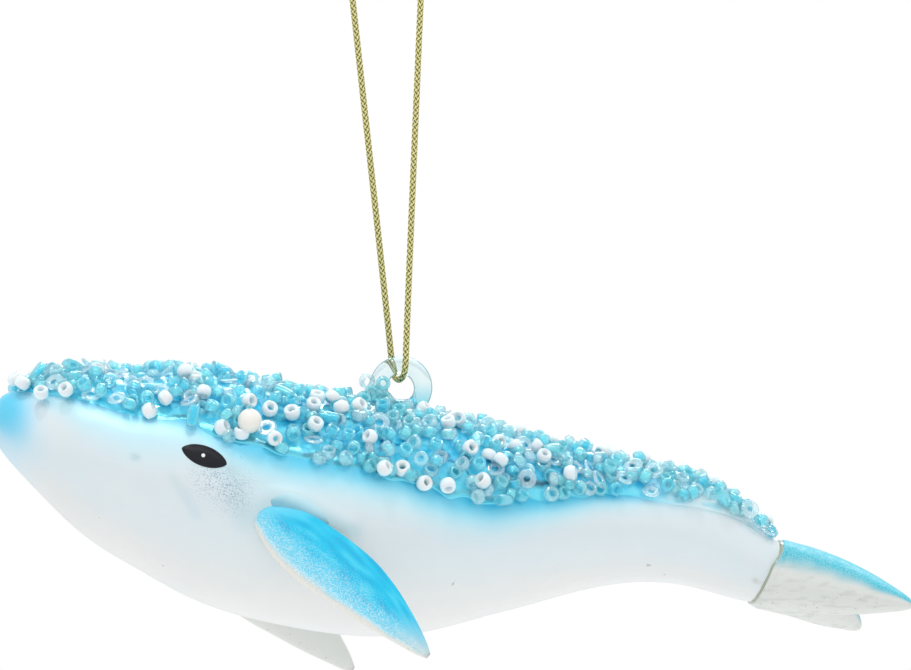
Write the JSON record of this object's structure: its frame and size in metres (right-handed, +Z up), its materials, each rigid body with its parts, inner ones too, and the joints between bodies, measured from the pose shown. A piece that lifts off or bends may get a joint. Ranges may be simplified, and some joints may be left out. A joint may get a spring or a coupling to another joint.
{
  "type": "hanging glass whale ornament",
  "caption": "Hollow glass whale that hangs from a cord through a ring on its back, with glued flippers, a tail fluke and a bead covered back.",
  "frame": {"origin": "the hanging point, on the inside of the top of the cord loop", "axes": "+X from the nose toward the tail, -Y toward the whale's left side, +Z up along the cord"},
  "size_m": [0.1407, 0.0553, 0.1301],
  "materials": {
    "pearl_glass": "pearl lacquer over mirrored glass, cyan on the back",
    "ring_glass": "clear pale aqua",
    "fin_paint": "matte off-white with blue airbrush",
    "clear_glue": "wet gloss",
    "seam_glue": "yellowed clear glue",
    "white_bead_glass": "gloss",
    "aqua_bead_glass": "gloss",
    "clear_bead_glass": "gloss",
    "sequin_film": "iridescent gloss",
    "bugle_glass": "gloss",
    "pearl_shell": "pearl",
    "eye_enamel": "gloss",
    "glint_enamel": "gloss",
    "gold_cord": "metallic braid"
  },
  "bodies": {
    "cord_loop": {"hanging_cord": "gold_cord", "cord_knot": "gold_cord"},
    "whale": {"body_shell": "pearl_glass", "hanging_ring": "ring_glass", "left_flipper": "fin_paint", "right_flipper": "fin_paint", "left_flipper_glue": "seam_glue", "right_flipper_glue": "seam_glue", "tail_fluke": "fin_paint", "tail_glue_seam": "seam_glue", "bead_glue": "clear_glue", "white_seed_beads": "white_bead_glass", "aqua_seed_beads": "aqua_bead_glass", "clear_seed_beads": "clear_bead_glass", "clear_sequins": "sequin_film", "aqua_bugle_beads": "bugle_glass", "pearl_beads": "pearl_shell", "left_eye": "eye_enamel", "right_eye": "eye_enamel", "left_eye_glint": "glint_enamel", "right_eye_glint": "glint_enamel"}
  },
  "joints": [
    {"name": "ring_swing", "type": "hinge", "parent": "cord_loop", "child": "whale", "pos_m": [0.0026, 0, -0.08], "axis": [0, 1, 0], "range_deg": [-60, 38]}
  ]
}
